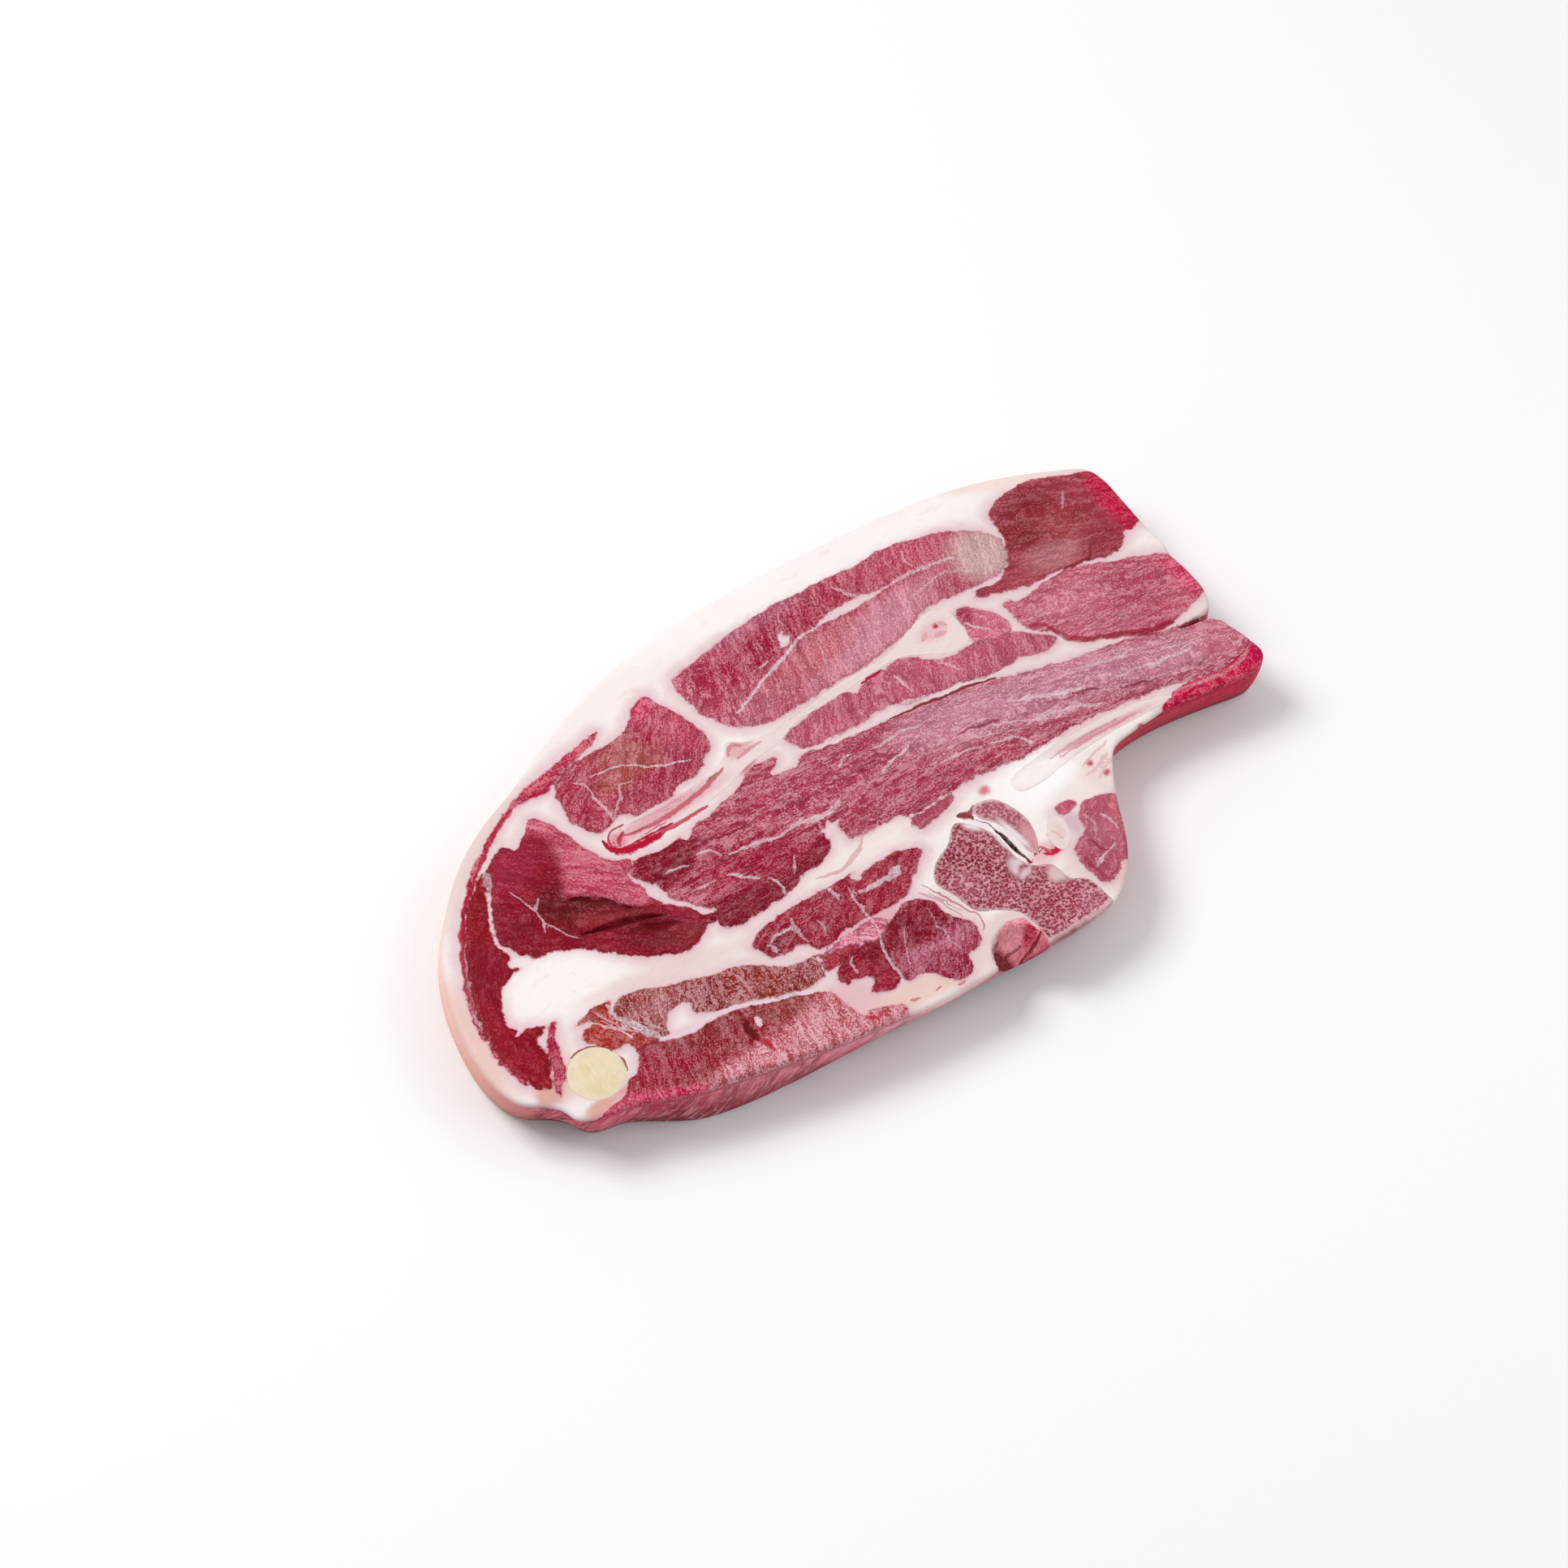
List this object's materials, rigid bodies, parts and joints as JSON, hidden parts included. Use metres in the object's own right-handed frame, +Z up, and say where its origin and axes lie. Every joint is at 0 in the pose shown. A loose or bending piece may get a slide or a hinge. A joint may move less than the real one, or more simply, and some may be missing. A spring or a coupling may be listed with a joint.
{
  "type": "raw lamb shoulder slice",
  "caption": "Raw lamb shoulder slice lying flat, cut across the blade bone and backbone: lean muscle, white fat cap and seams, spongy bone and rib cartilage",
  "frame": {"origin": "under the middle of the slice's box, on the surface that it lies on", "axes": "+X along the slice from the rounded breast end to the neck flap, +Z up through its thickness, +Y towards the fat cap"},
  "size_m": [0.205, 0.116, 0.0162],
  "materials": {
    "flesh": "moist raw meat, pinkish red lean with white fat",
    "bone": "sawn pale bone",
    "spongy_bone": "sawn spongy bone with red marrow",
    "cartilage": "smooth pale yellow cartilage"
  },
  "bodies": {
    "root": {"flesh": "flesh", "blade_bone": "bone", "vertebra": "spongy_bone", "articular_process": "spongy_bone", "spinous_process": "bone", "rib_end": "bone", "cartilage_disc": "cartilage"}
  },
  "joints": []
}
